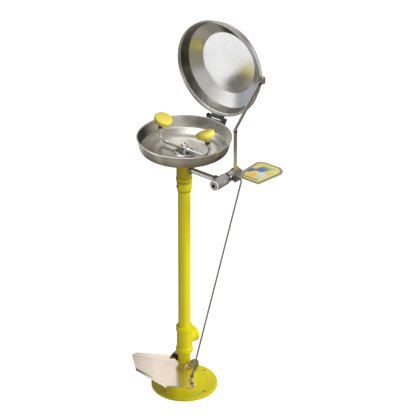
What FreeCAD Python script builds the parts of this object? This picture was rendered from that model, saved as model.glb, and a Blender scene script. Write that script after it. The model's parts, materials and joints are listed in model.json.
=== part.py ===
import FreeCAD, Part
import math
import os
import re
import Sketcher

# Pedestal eyewash station: a bowl on a floor-mounted drain post, a hinged dust cover, a push flag and
# a foot treadle that both open one stay-open ball valve.
# Frame: +Z up, origin at the centre of the floor flange's underside, user on the -Y side.
# Everything is in millimetres and degrees, and in the open (water on) position.

DIMENSIONS = (
    # floor flange, post and drain tee
    ("base_turn", -8), ("flange_radius", 114.3), ("flange_edge", 9), ("flange_lip", 13.5),
    ("flange_web", 12.5), ("hub_foot", 18), ("hub_radius", 29), ("hub_top", 48),
    ("bolt_circle", 190), ("bolt_hole", 5.5),
    ("pipe_radius", 21.08), ("pipe_bore", 17.5), ("press_gap", 0.05),
    ("nipple_bottom", 6), ("nipple_top", 150), ("post_bottom", 222), ("post_top", 782),
    ("tee_bottom", 136), ("tee_top", 236), ("tee_centre", 188), ("tee_radius", 26.6),
    ("collar_radius", 29.3), ("collar_height", 15), ("branch_reach", 46), ("outlet_radius", 20.3),
    ("outlet_depth", 16),
    # top coupling
    ("coupling_bottom", 762), ("coupling_top", 888), ("coupling_radius", 26), ("coupling_bore", 20.3),
    ("spud_bottom", 872), ("spud_radius", 20), ("spud_bore", 16), ("screw_level", 783),
    ("screw_side", -116),
    # bowl
    ("rim_level", 963), ("rim_radius", 157.3), ("bowl_floor", 903), ("floor_radius", 106),
    ("wall_foot_radius", 146.5), ("wall_foot_level", 921.5), ("wall_top_radius", 155.2),
    ("rim_bead", 3.6), ("gauge", 1.5), ("drain_hole", 20.6), ("cap_radius", 38),
    # yoke and spray heads
    ("arm_level", 917), ("yoke_radius", 15), ("yoke_bottom", 907), ("yoke_top", 930),
    ("riser_radius", 7.4), ("riser_bore", 6), ("arm_radius", 5.5), ("arm_bore", 4.1),
    ("arm_corner", 116), ("arm_bend", 28), ("head_tilt", 20), ("head_base_x", 98.9),
    ("head_base_level", 964), ("head_radius", 31), ("neck_level", 12.2),
    # supply line, strainer and ball valve
    ("valve_x", 155), ("valve_y", 42), ("valve_level", 847), ("supply_radius", 9.5),
    ("supply_bore", 7.5), ("supply_start", 22), ("supply_end", 141), ("strainer_radius", 19.2),
    ("strainer_front", -42), ("strainer_back", 22), ("valve_front", 30), ("valve_back", 60),
    ("inlet_back", 76), ("inlet_radius", 9.5), ("inlet_depth", 14), ("valve_radius", 17),
    ("ball_radius", 10.5), ("stem_radius", 4), ("stem_end", 183.8),
    # four-bar linkage between the valve lever and the cover
    ("lever_x", 176.5), ("plate", 3), ("lever_length", 173), ("lever_half_width", 8),
    ("link_x", 172.5), ("link_half_width", 7), ("pin_radius", 3), ("running_gap", 0.06),
    ("open_gap", 0.3), ("hinge_y", 175), ("hinge_level", 963.5),
    # push flag
    ("flag_level", 858.5), ("flag_gauge", 2), ("flag_front", 36.5), ("flag_rear", 174),
    ("flag_side", 295), ("label_inset", 4), ("label_gauge", 0.6),
    # cover, measured as it lies closed over the bowl
    ("cover_rim", 964), ("cover_radius", 166.6), ("lip_height", 12), ("skirt_radius", 161.8),
    ("skirt_level", 1006.5), ("skirt_top_radius", 153), ("crown_radius", 107.5), ("crown_level", 1028.5),
    ("knuckle_radius", 5), ("hinge_pin_radius", 2.5), ("hinge_left", -29), ("hinge_right", 40), ("cover_knuckle_half", 21.5),
    # treadle and pull rod
    ("pivot_level", 90), ("treadle_top", 100), ("treadle_gauge", 3), ("treadle_front", -158),
    ("ear_inner", 39.5), ("ear_radius", 28), ("bolt_radius", 5), ("spacer_radius", 9),
    ("slot_side", 110), ("slot_back", -76), ("rod_radius", 3.2), ("rod_pin_y", 62), ("rod_pin_level", 838),
    ("rod_x", 190.5), ("rod_tail", 20),
)
NAMES = {name for name, number in DIMENSIONS}

doc = FreeCAD.newDocument("eyewash_station")
dims = doc.addObject("Spreadsheet::Sheet", "dims")
for row, (name, number) in enumerate(DIMENSIONS, start=1):
    dims.set(f"A{row}", name)
    dims.set(f"B{row}", str(number))
    dims.setAlias(f"B{row}", name)
doc.recompute()

X_AXIS = FreeCAD.Vector(1, 0, 0)
Y_AXIS = FreeCAD.Vector(0, 1, 0)
Z_AXIS = FreeCAD.Vector(0, 0, 1)
nodes = []


def value(expression):
    """The number that an expression over the sheet's names stands for."""
    return float(dims.evalExpression(str(expression)))


def bound(expression):
    """The same expression as another object has to write it."""
    return re.sub(r"[a-z][a-z0-9_]*", lambda m: f"dims.{m[0]}" if m[0] in NAMES else m[0], str(expression))


def keep(thing):
    """Marks an object as a sub-part, to be written to its own file."""
    nodes.append(thing)
    return thing


def place(thing, base=(0, 0, 0), turn=0, about=Z_AXIS, aim=None):
    """Puts a piece made about its own Z axis, or turned by an angle about an axis, at base."""
    spin = FreeCAD.Rotation(Z_AXIS, aim) if aim else FreeCAD.Rotation(about, value(turn))
    thing.Placement = FreeCAD.Placement(FreeCAD.Vector(*(value(number) for number in base)), spin)
    return thing


# ---------------------------------------------------------------- sketches


def pin_point(sketch, geometry, corner, spot):
    """Fixes a point of the sketch at two expressions measured from the sketch's origin."""
    for kind, axis, expression in (("DistanceX", -2, spot[0]), ("DistanceY", -1, spot[1])):
        number = value(expression)
        if abs(number) < 1e-7:
            sketch.addConstraint(Sketcher.Constraint("PointOnObject", geometry, corner, axis))
            continue
        index = sketch.addConstraint(Sketcher.Constraint(kind, -1, 1, geometry, corner, number))
        if bound(expression) != str(expression):
            sketch.setExpression(f"Constraints[{index}]", bound(expression))


def new_sketch(body, plane, start="0", turn=0):
    """A sketch on an origin plane of the body, moved by start along +X, +Y or +Z and turned about Z."""
    sketch = body.newObject("Sketcher::SketchObject", f"{body.Name}_sketch")
    support = next(item for item in body.Origin.OriginFeatures if item.Role == plane)
    sketch.AttachmentSupport = (support, "")
    sketch.MapMode = "FlatFace"
    if turn:
        sketch.AttachmentOffset = FreeCAD.Placement(FreeCAD.Vector(), FreeCAD.Rotation(Y_AXIS, turn))
    sign = "-" if plane == "XZ_Plane" else ""
    sketch.setExpression("AttachmentOffset.Base.z", f"{sign}({bound(start)})")
    return sketch


def draw_outline(sketch, points):
    """A closed run of straight lines through points, each a pair of expressions."""
    spots = [FreeCAD.Vector(value(across), value(up), 0) for across, up in points]
    first = sketch.GeometryCount
    count = len(spots)
    for index in range(count):
        sketch.addGeometry(Part.LineSegment(spots[index], spots[(index + 1) % count]), False)
    for index in range(count):
        following = first + (index + 1) % count
        sketch.addConstraint(Sketcher.Constraint("Coincident", first + index, 2, following, 1))
    for index, spot in enumerate(points):
        pin_point(sketch, first + index, 1, spot)


def draw_circle(sketch, centre, radius):
    middle = FreeCAD.Vector(value(centre[0]), value(centre[1]), 0)
    index = sketch.addGeometry(Part.Circle(middle, Z_AXIS, value(radius)), False)
    constraint = sketch.addConstraint(Sketcher.Constraint("Radius", index, value(radius)))
    if bound(radius) != str(radius):
        sketch.setExpression(f"Constraints[{constraint}]", bound(radius))
    pin_point(sketch, index, 3, centre)


def draw_bend(sketch, start, corner, end, bend):
    """Two straight runs joined by a tangent arc of radius bend."""
    begin, middle, finish = (FreeCAD.Vector(value(p[0]), value(p[1]), 0) for p in (start, corner, end))
    into = (middle - begin).normalize()
    away = (finish - middle).normalize()
    turn = math.acos(into.dot(away))
    setback = value(bend) * math.tan(turn / 2)
    first = middle - into * setback
    last = middle + away * setback
    inward = (away - into).normalize()
    centre = middle + inward * (value(bend) / math.cos(turn / 2))
    halfway = centre - inward * value(bend)
    sketch.addGeometry(Part.LineSegment(begin, first), False)
    sketch.addGeometry(Part.Arc(first, halfway, last), False)
    sketch.addGeometry(Part.LineSegment(last, finish), False)
    sketch.addGeometry(Part.Point(middle), True)
    starts_first = (sketch.Geometry[1].StartPoint - first).Length < 1e-6
    near, far = (1, 2) if starts_first else (2, 1)
    sketch.addConstraint(Sketcher.Constraint("Tangent", 0, 2, 1, near))
    sketch.addConstraint(Sketcher.Constraint("Tangent", 2, 1, 1, far))
    sketch.addConstraint(Sketcher.Constraint("PointOnObject", 3, 1, 0))
    sketch.addConstraint(Sketcher.Constraint("PointOnObject", 3, 1, 2))
    radius = sketch.addConstraint(Sketcher.Constraint("Radius", 1, value(bend)))
    if bound(bend) != str(bend):
        sketch.setExpression(f"Constraints[{radius}]", bound(bend))
    pin_point(sketch, 0, 1, start)
    pin_point(sketch, 3, 1, corner)
    pin_point(sketch, 2, 2, end)


# ---------------------------------------------------------------- features


def new_body(label):
    body = doc.addObject("PartDesign::Body", label)
    body.Label = label
    return body


def feature(body, kind, sketch, changes_by):
    """Adds a sketch-based feature and checks that it adds or removes material."""
    before = body.Shape.Volume if body.Tip else 0.0
    item = body.newObject(f"PartDesign::{kind}", f"{body.Name}_{kind.lower()}")
    item.Profile = sketch
    return item, before, changes_by


def settle(body, item, before, changes_by):
    doc.recompute()
    change = body.Shape.Volume - before
    if change * changes_by <= 0:
        raise RuntimeError(f"{item.Label} changes the volume by {change:.1f}")
    return item


def revolve(body, points, cut=False):
    """A turned shape about the body's Z axis, from an outline of (radius, height) pairs."""
    sketch = new_sketch(body, "XZ_Plane")
    draw_outline(sketch, points)
    item, before, sign = feature(body, "Groove" if cut else "Revolution", sketch, -1 if cut else 1)
    item.ReferenceAxis = (sketch, ["V_Axis"])
    item.Angle = 360
    return settle(body, item, before, sign)


def extrude(body, plane, start, length, outline=None, circles=(), cut=False, turn=0):
    """Pads or cuts along +X, +Y or +Z, from start, over length; turn swings an upright plane about Z."""
    sketch = new_sketch(body, plane, start, turn)
    if outline:
        draw_outline(sketch, outline)
    for centre, radius in circles:
        draw_circle(sketch, centre, radius)
    item, before, sign = feature(body, "Pocket" if cut else "Pad", sketch, -1 if cut else 1)
    item.setExpression("Length", bound(length))
    item.Reversed = (plane == "XZ_Plane") != cut
    return settle(body, item, before, sign)


def around(body, item, count):
    """Repeats a feature about the body's Z axis."""
    pattern = body.newObject("PartDesign::PolarPattern", f"{body.Name}_pattern")
    pattern.Originals = [item]
    pattern.Axis = (item.Profile[0], ["N_Axis"])
    pattern.Angle = 360
    pattern.Occurrences = count
    body.Tip = pattern
    doc.recompute()
    return pattern


def soften(body, radius, chosen):
    """Rounds the edges of the finished shape that chosen(edge) picks out."""
    last = body.Tip
    names = [f"Edge{n}" for n, edge in enumerate(last.Shape.Edges, start=1) if chosen(edge)]
    fillet = body.newObject("PartDesign::Fillet", f"{body.Name}_fillet")
    fillet.Base = (last, names)
    fillet.Radius = radius
    doc.recompute()
    if not names or {"Invalid", "Error"} & set(fillet.State):
        raise RuntimeError(f"{fillet.Label} does not round {names}")
    return fillet


def ring_at(radius, level):
    """Picks the full-circle edge of that radius at that height."""

    def chosen(edge):
        curve = edge.Curve
        if not isinstance(curve, Part.Circle):
            return False
        return abs(curve.Radius - value(radius)) < 0.02 and abs(curve.Center.z - value(level)) < 0.02

    return chosen


def turned(label, points, base=(0, 0, 0), aim=Z_AXIS):
    body = new_body(label)
    revolve(body, points)
    return place(body, base, aim=aim)


def tube(label, outer, inner, length, base=(0, 0, 0), aim=Z_AXIS):
    points = ((inner, "0"), (outer, "0"), (outer, length), (inner, length))
    return turned(label, points, base, aim)


def hexagon(flats):
    """The six corners of a hexagon, from its size across the flats."""
    corner = f"({flats}) / sqrt(3)"
    half = f"({flats}) / 2"
    return (
        (corner, "0"), (f"{corner} / 2", half), (f"-{corner} / 2", half),
        (f"-{corner}", "0"), (f"-{corner} / 2", f"-({half})"), (f"{corner} / 2", f"-({half})"),
    )


def nut(label, flats, bore, height, base, aim):
    body = new_body(label)
    extrude(body, "XY_Plane", "0", height, outline=hexagon(flats))
    chamfer = f"({flats}) / sqrt(3)"
    revolve(body, (
        (f"{chamfer} - 1.2", height), (f"{chamfer} + 2", f"{height} - 2"), (f"{chamfer} + 2", height),
    ), cut=True)
    if bore:
        extrude(body, "XY_Plane", "0", height, circles=((("0", "0"), bore),), cut=True)
    return place(body, base, aim=aim)


def group(label, members):
    """Several identical solids kept as one node."""
    bundle = doc.addObject("Part::Compound", label)
    bundle.Label = label
    bundle.Links = list(members)
    doc.recompute()
    return bundle


def bent_tube(label, plane_points, outer, inner, bend):
    """A tube in the body's XZ plane, whose first run starts along the X axis."""
    start, corner, end = plane_points
    body = new_body(label)
    spine = new_sketch(body, "XZ_Plane")
    draw_bend(spine, start, corner, end, bend)
    section = new_sketch(body, "YZ_Plane", start[0])
    draw_circle(section, ("0", start[1]), outer)
    if inner:
        draw_circle(section, ("0", start[1]), inner)
    doc.recompute()
    pipe = body.newObject("PartDesign::AdditivePipe", f"{label}_pipe")
    pipe.Profile = section
    pipe.Spine = (spine, ["Edge1", "Edge2", "Edge3"])
    pipe.Transition = "Transformed"
    doc.recompute()
    return body


# ---------------------------------------------------------------- floor flange, post, drain tee


def make_base():
    flange = keep(new_body("floor_flange"))
    revolve(flange, (
        ("pipe_radius + press_gap", "0"), ("flange_radius", "0"), ("flange_radius", "flange_edge"),
        ("flange_radius - 2", "flange_lip - 1.2"), ("flange_radius - 5", "flange_lip"),
        ("flange_radius - 9", "flange_web"), ("hub_radius + 20", "hub_foot"),
        ("hub_radius + 7", "hub_foot + 5"), ("hub_radius", "hub_top - 6"),
        ("hub_radius - 2", "hub_top"), ("pipe_radius + press_gap", "hub_top"),
    ))
    hole = extrude(flange, "XY_Plane", "0", "hub_foot", circles=((("bolt_circle / 2", "0"), "bolt_hole"),),
                   cut=True)
    around(flange, hole, 4)
    place(flange, turn="base_turn")

    nipple = keep(new_body("lower_nipple"))
    revolve(nipple, (
        ("pipe_bore", "nipple_bottom"), ("pipe_radius", "nipple_bottom"),
        ("pipe_radius", "nipple_top"), ("pipe_bore", "nipple_top"),
    ))
    extrude(nipple, "YZ_Plane", "-30", "60", circles=((("0", "pivot_level"), "bolt_radius + press_gap"),),
            cut=True)
    place(nipple, turn="base_turn")

    tee = keep(new_body("drain_tee"))
    revolve(tee, (
        ("0", "tee_bottom"), ("collar_radius", "tee_bottom"),
        ("collar_radius", "tee_bottom + collar_height"),
        ("tee_radius", "tee_bottom + collar_height + 3"), ("tee_radius", "tee_top - collar_height - 3"),
        ("collar_radius", "tee_top - collar_height"), ("collar_radius", "tee_top"), ("0", "tee_top"),
    ))
    branch = ((("0", "tee_centre"), "tee_radius - 1"),)
    extrude(tee, "XZ_Plane", "0", "branch_reach", circles=branch)
    rim = ((("0", "tee_centre"), "collar_radius - 1.6"),)
    extrude(tee, "XZ_Plane", "branch_reach - 12", "12", circles=rim)
    revolve(tee, (
        ("0", "tee_bottom"), ("pipe_radius + press_gap", "tee_bottom"),
        ("pipe_radius + press_gap", "nipple_top"), ("pipe_bore", "nipple_top"),
        ("pipe_bore", "post_bottom"), ("pipe_radius + press_gap", "post_bottom"),
        ("pipe_radius + press_gap", "tee_top"), ("0", "tee_top"),
    ), cut=True)
    waterway = ((("0", "tee_centre"), "pipe_bore"),)
    extrude(tee, "XZ_Plane", "0", "branch_reach", circles=waterway, cut=True)
    thread = ((("0", "tee_centre"), "outlet_radius"),)
    extrude(tee, "XZ_Plane", "branch_reach - outlet_depth", "outlet_depth", circles=thread, cut=True)
    place(tee, turn="base_turn")

    keep(tube("pedestal_pipe", "pipe_radius", "pipe_bore", "post_top - post_bottom",
              base=("0", "0", "post_bottom")))


def make_coupling():
    coupling = keep(new_body("top_coupling"))
    revolve(coupling, (
        ("0", "coupling_bottom"), ("coupling_radius - 2.5", "coupling_bottom"),
        ("coupling_radius - 2.5", "coupling_bottom + 5"), ("coupling_radius - 0.6", "coupling_bottom + 8"),
        ("coupling_radius - 0.6", "coupling_bottom + 34"), ("coupling_radius - 2", "coupling_bottom + 37"),
        ("coupling_radius + 1.6", "coupling_bottom + 40"), ("coupling_radius + 1.6", "coupling_bottom + 48"),
        ("coupling_radius", "coupling_bottom + 53"), ("coupling_radius", "coupling_top"),
        ("0", "coupling_top"),
    ))
    revolve(coupling, (
        ("0", "coupling_bottom"), ("pipe_radius + press_gap", "coupling_bottom"),
        ("pipe_radius + press_gap", "post_top"), ("pipe_bore", "post_top"), ("pipe_bore", "post_top + 6"),
        ("coupling_bore", "post_top + 12"), ("coupling_bore", "spud_bottom"),
        ("spud_radius + press_gap", "spud_bottom"), ("spud_radius + press_gap", "coupling_top"),
        ("0", "coupling_top"),
    ), cut=True)
    port = ((("0", "valve_level"), "supply_radius + press_gap"),)
    extrude(coupling, "YZ_Plane", "0", "coupling_radius + 3", circles=port, cut=True)
    screw_hole = ((("0", "screw_level"), "4.05"),)
    side = value("screw_side")
    extrude(coupling, "XZ_Plane", "0", "coupling_radius + 1", circles=screw_hole, cut=True, turn=side - 90)

    toward = FreeCAD.Vector(math.cos(math.radians(side)), math.sin(math.radians(side)), 0)
    keep(turned("coupling_screw", (
        ("0", "pipe_radius + 0.1"), ("4", "pipe_radius + 0.1"), ("4", "coupling_radius + 1.5"),
        ("2.2", "coupling_radius + 1.5"), ("2.2", "coupling_radius - 2"), ("0", "coupling_radius - 2"),
    ), base=("0", "0", "screw_level"), aim=toward))


# ---------------------------------------------------------------- bowl and its drain


def make_bowl():
    bowl = keep(new_body("bowl"))
    revolve(bowl, (
        ("drain_hole", "bowl_floor"), ("floor_radius", "bowl_floor"),
        ("wall_foot_radius", "wall_foot_level"), ("wall_top_radius", "rim_level - rim_bead"),
        ("rim_radius", "rim_level - rim_bead"), ("rim_radius", "rim_level"),
        ("wall_top_radius - gauge", "rim_level"), ("wall_top_radius - gauge", "rim_level - rim_bead"),
        ("wall_foot_radius - gauge", "wall_foot_level + 0.8"), ("floor_radius - 0.4", "bowl_floor + gauge"),
        ("drain_hole", "bowl_floor + gauge"),
    ))
    rivet_holes = [((f"{side} * 15", "rim_level - 29.5"), "2.55") for side in (-1, 1)]
    extrude(bowl, "XZ_Plane", "135", "30", circles=rivet_holes, cut=True)
    soften(bowl, 90, ring_at("floor_radius", "bowl_floor"))
    soften(bowl, 88.5, ring_at("floor_radius - 0.4", "bowl_floor + gauge"))
    soften(bowl, 7, ring_at("wall_foot_radius", "wall_foot_level"))
    soften(bowl, 5.5, ring_at("wall_foot_radius - gauge", "wall_foot_level + 0.8"))
    soften(bowl, 1.6, ring_at("rim_radius", "rim_level"))

    keep(turned("drain_spud", (
        ("spud_bore", "spud_bottom"), ("spud_radius", "spud_bottom"), ("spud_radius", "bowl_floor + gauge"),
        ("30", "bowl_floor + gauge"), ("29", "bowl_floor + gauge + 2"),
        ("spud_bore + 1", "bowl_floor + gauge + 2"), ("spud_bore", "bowl_floor + gauge + 1"),
    )))
    keep(tube("bowl_gasket", "30", "spud_radius + press_gap", "3", base=("0", "0", "bowl_floor - 3")))
    keep(nut("bowl_locknut", "56", "spud_radius + press_gap", "9", ("0", "0", "bowl_floor - 12.5"), Z_AXIS))

    cap = keep(new_body("drain_strainer"))
    revolve(cap, (
        ("yoke_radius + 0.1", "bowl_floor + gauge + 3"), ("cap_radius - 8", "bowl_floor + gauge + 3"),
        ("cap_radius - 2", "bowl_floor + gauge"), ("cap_radius", "bowl_floor + gauge"),
        ("cap_radius - 7", "bowl_floor + gauge + 4.3"), ("yoke_radius + 0.1", "bowl_floor + gauge + 4.3"),
    ))
    for count, reach, radius in ((10, "yoke_radius + 5", "2.2"), (14, "yoke_radius + 12", "2.2")):
        hole = extrude(cap, "XY_Plane", "bowl_floor", "12", circles=(((reach, "0"), radius),), cut=True)
        around(cap, hole, count)


# ---------------------------------------------------------------- yoke, arms and spray heads


def make_yoke():
    elbow_points = (("-supply_start - 4", "valve_level"), ("0", "valve_level"), ("0", "yoke_bottom + 8"))
    riser = keep(bent_tube("riser_pipe", elbow_points, "riser_radius", "riser_bore", "14"))
    place(riser, turn=180)

    yoke = keep(new_body("yoke_body"))
    revolve(yoke, (
        ("0", "yoke_bottom"), ("yoke_radius - 0.5", "yoke_bottom"), ("yoke_radius - 0.5", "yoke_bottom + 3"),
        ("yoke_radius", "yoke_bottom + 4"), ("yoke_radius", "yoke_top - 1.5"),
        ("yoke_radius - 1.5", "yoke_top"), ("0", "yoke_top"),
    ))
    extrude(yoke, "XY_Plane", "yoke_bottom", "8.5", circles=((("0", "0"), "riser_radius + press_gap"),),
            cut=True)
    extrude(yoke, "XY_Plane", "yoke_bottom", "yoke_top - yoke_bottom", circles=((("0", "0"), "4.1"),),
            cut=True)
    ports = ((("0", "arm_level"), "arm_radius + press_gap"),)
    extrude(yoke, "YZ_Plane", "-yoke_radius - 1", "2 * yoke_radius + 2", circles=ports, cut=True)

    keep(turned("yoke_cap", (
        ("0", "-4"), ("4", "-4"), ("4", "0"), ("10.5", "0"), ("10.5", "2.5"), ("9", "6"), ("5.5", "8.5"),
        ("0", "9.5"),
    ), base=("0", "0", "yoke_top")))

    for side, name in ((-1, "left"), (1, "right")):
        start = ("8", "arm_level")
        corner = ("arm_corner", "arm_level")
        end = ("head_base_x - (neck_level + 2.8) * sin(head_tilt * 1 deg)",
               "head_base_level + (neck_level + 2.8) * cos(head_tilt * 1 deg)")
        arm = bent_tube(f"{name}_arm", (start, corner, end), "arm_radius", "arm_bore", "arm_bend")
        keep(place(arm, turn=0 if side > 0 else 180))

    yoke_nuts = []
    head_nuts = []
    flow_controls = []
    foam_filters = []
    for side in (-1, 1):
        lean = math.radians(value("head_tilt"))
        aim = FreeCAD.Vector(-side * math.sin(lean), 0, math.cos(lean))
        base = (f"{side} * head_base_x", "0", "head_base_level")
        name = "left" if side < 0 else "right"
        outward = (f"{side} * (yoke_radius + 0.1)", "0", "arm_level")
        bore = "arm_radius + press_gap"
        yoke_nuts.append(nut(f"yoke_nut_{name}", "14", bore, "7", outward, X_AXIS * side))
        head_nuts.append(nut(f"head_nut_{name}", "15", bore, "neck_level - 0.2", base, aim))
        flow_controls.append(turned(f"flow_control_{name}", (
            ("1.6", "neck_level + 4.1"), ("5.4", "neck_level + 4.1"), ("5.4", "neck_level + 7.6"),
            ("2.6", "neck_level + 7.6"),
        ), base, aim))
        foam_filters.append(turned(f"foam_filter_{name}", (
            ("0", "29"), ("head_radius - 4", "29"), ("head_radius - 2.2", "31"),
            ("head_radius - 2.2", "36"), ("0", "36"),
        ), base, aim))
        make_head(name, base, aim)
    keep(group("yoke_nuts", yoke_nuts))
    keep(group("head_nuts", head_nuts))
    keep(group("flow_controls", flow_controls))
    keep(group("foam_filters", foam_filters))


def make_head(name, base, aim):
    """The cup and the spray face of one head, about the head's own axis."""
    cup = keep(new_body(f"{name}_head_cup"))
    revolve(cup, (
        ("arm_radius + press_gap", "neck_level"), ("9.5", "neck_level"), ("10.5", "neck_level + 2.5"),
        ("15", "neck_level + 5"), ("head_radius - 3", "25.5"), ("head_radius - 0.8", "28"),
        ("head_radius", "31"), ("head_radius", "37"), ("head_radius - 2", "37"),
        ("head_radius - 2", "30"), ("head_radius - 4", "28"), ("14", "neck_level + 8.3"),
        ("5.5", "neck_level + 8.3"), ("5.5", "neck_level + 3.8"),
        ("arm_radius + press_gap", "neck_level + 3.8"),
    ))
    place(cup, base, aim=aim)

    face = keep(new_body(f"{name}_spray_face"))
    revolve(face, (
        ("0", "37.1"), ("head_radius", "37.1"), ("head_radius", "39.5"), ("head_radius - 1.5", "41.8"),
        ("head_radius - 6", "43.8"), ("head_radius - 14", "45.4"), ("0", "46.2"),
    ))
    revolve(face, (
        ("0", "37.1"), ("head_radius - 3", "37.1"), ("head_radius - 3", "39.5"), ("head_radius - 9", "41.8"),
        ("0", "43.4"),
    ), cut=True)
    for count, reach in ((6, "8"), (12, "16")):
        hole = extrude(face, "XY_Plane", "36", "12", circles=(((reach, "0"), "1.3"),), cut=True)
        around(face, hole, count)
    place(face, base, aim=aim)


# ---------------------------------------------------------------- supply line and valve


def make_supply():
    axis = ("0", "valve_level")
    keep(tube("supply_pipe", "supply_radius", "supply_bore", "supply_end - supply_start",
              base=("supply_start", *axis), aim=X_AXIS))
    bore = "supply_radius + press_gap"
    keep(group("supply_nuts", (
        nut("supply_nut_post", "25", bore, "7", ("coupling_radius + 1", *axis), X_AXIS),
        nut("supply_nut_valve", "25", bore, "7", ("valve_x - strainer_radius - 8", *axis), X_AXIS),
    )))

    line = ("valve_x", "0", "valve_level")
    body = keep(new_body("strainer_body"))
    revolve(body, (
        ("0", "strainer_front"), ("strainer_radius - 1", "strainer_front"),
        ("strainer_radius", "strainer_front + 1"), ("strainer_radius", "strainer_back - 4"),
        ("strainer_radius - 3", "strainer_back"), ("9.9", "strainer_back"), ("9.9", "valve_front + 1"),
        ("0", "valve_front + 1"),
    ))
    revolve(body, (
        ("0", "strainer_front"), ("15.1", "strainer_front"), ("15.1", "strainer_back - 8"),
        ("7.5", "strainer_back - 8"), ("7.5", "valve_front + 1"), ("0", "valve_front + 1"),
    ), cut=True)
    port = ((("0", "0"), "supply_radius + press_gap"),)
    extrude(body, "YZ_Plane", "-strainer_radius - 2", "12", circles=port, cut=True)
    place(body, line, turn=-90, about=X_AXIS)

    keep(turned("strainer_plug", (
        ("0", "2.6"), ("4.6", "2.6"), ("4.6", "-1.2"), ("13.5", "-1.2"), ("15", "0.4"), ("15", "9"), ("0", "9"),
    ), ("valve_x", "strainer_front", "valve_level"), Y_AXIS))
    keep(tube("strainer_seal", "15", "12.6", "2", ("valve_x", "strainer_front + 9.1", "valve_level"), Y_AXIS))
    keep(tube("strainer_screen", "12.4", "11.6", "42",
              ("valve_x", "strainer_front + 12", "valve_level"), Y_AXIS))
    keep(nut("union_nut", "29", "9.95", "7.6", ("valve_x", "strainer_back + 0.2", "valve_level"), Y_AXIS))


def make_valve():
    centre = ("valve_x", "valve_y", "valve_level")
    front = "valve_front - valve_y"
    back = "valve_back - valve_y"
    body = keep(new_body("valve_body"))
    revolve(body, (
        ("0", front), ("valve_radius - 3", front), ("valve_radius", f"{front} + 3"),
        ("valve_radius", f"{back} - 5"), ("valve_radius - 1.5", back), ("0", back),
    ))
    boss = ((("0", "0"), "11"),)
    extrude(body, "YZ_Plane", "0", "valve_radius + 1", circles=boss)
    revolve(body, (
        ("0", front), ("9.95", front), ("9.95", f"{front} + 1"), ("8", f"{front} + 1"), ("8", "-8.6"),
        ("12.6", "-8.6"), ("12.6", "12"), ("11.2", back), ("0", back),
    ), cut=True)
    extrude(body, "YZ_Plane", "0", "valve_radius + 2", circles=((("0", "0"), "stem_radius + running_gap"),),
            cut=True)
    extrude(body, "YZ_Plane", "valve_radius - 3", "5", circles=((("0", "0"), "7.1"),), cut=True)
    place(body, centre, turn=-90, about=X_AXIS)

    cap = keep(new_body("inlet_end_cap"))
    extrude(cap, "XY_Plane", "0", "inlet_back - valve_back", outline=hexagon("33"))
    extrude(cap, "XY_Plane", "-5.5", "5.5", circles=((("0", "0"), "11"),))
    extrude(cap, "XY_Plane", "inlet_back - valve_back - inlet_depth", "inlet_depth",
            circles=((("0", "0"), "inlet_radius"),), cut=True)
    extrude(cap, "XY_Plane", "-5.5", "12", circles=((("0", "0"), "7"),), cut=True)
    place(cap, ("valve_x", "valve_back", "valve_level"), aim=Y_AXIS)

    ball = keep(new_body("valve_ball"))
    sphere = ball.newObject("PartDesign::AdditiveSphere", "valve_ball_sphere")
    sphere.setExpression("Radius", bound("ball_radius"))
    doc.recompute()
    extrude(ball, "XY_Plane", "-ball_radius", "2 * ball_radius", circles=((("0", "0"), "7"),), cut=True)
    slot = (("-1.7", "-6.2"), ("1.7", "-6.2"), ("1.7", "6.2"), ("-1.7", "6.2"))
    extrude(ball, "YZ_Plane", "8.4", "3", outline=slot, cut=True)
    place(ball, centre, turn=-90, about=X_AXIS)

    seats = []
    for side, name in ((-1, "front"), (1, "back")):
        seat = new_body(f"seat_{name}")
        revolve(seat, (("7.2", "5.2"), ("12.5", "5.2"), ("12.5", "8.5"), ("7.2", "8.5")))
        hollow = seat.newObject("PartDesign::SubtractiveSphere", f"seat_{name}_hollow")
        hollow.setExpression("Radius", bound("ball_radius + running_gap"))
        doc.recompute()
        seats.append(place(seat, centre, aim=Y_AXIS * side))
    keep(group("valve_seats", seats))

    stem = keep(new_body("valve_stem"))
    extrude(stem, "XY_Plane", "ball_radius + 0.1", "stem_end - valve_x - ball_radius - 0.1",
            circles=((("0", "0"), "stem_radius"),))
    tang = (("-1.6", "-3.2"), ("1.6", "-3.2"), ("1.6", "3.2"), ("-1.6", "3.2"))
    extrude(stem, "XY_Plane", "8.5", "ball_radius - 8.4", outline=tang)
    place(stem, centre, aim=X_AXIS)

    keep(tube("stem_packing", "7", "stem_radius + running_gap", "3.6",
              ("valve_x + valve_radius - 2.9", "valve_y", "valve_level"), X_AXIS))
    keep(nut("packing_nut", "17", "stem_radius + running_gap", "3",
             ("valve_x + valve_radius + 1.1", "valve_y", "valve_level"), X_AXIS))


# ---------------------------------------------------------------- lever, flag, link


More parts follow.
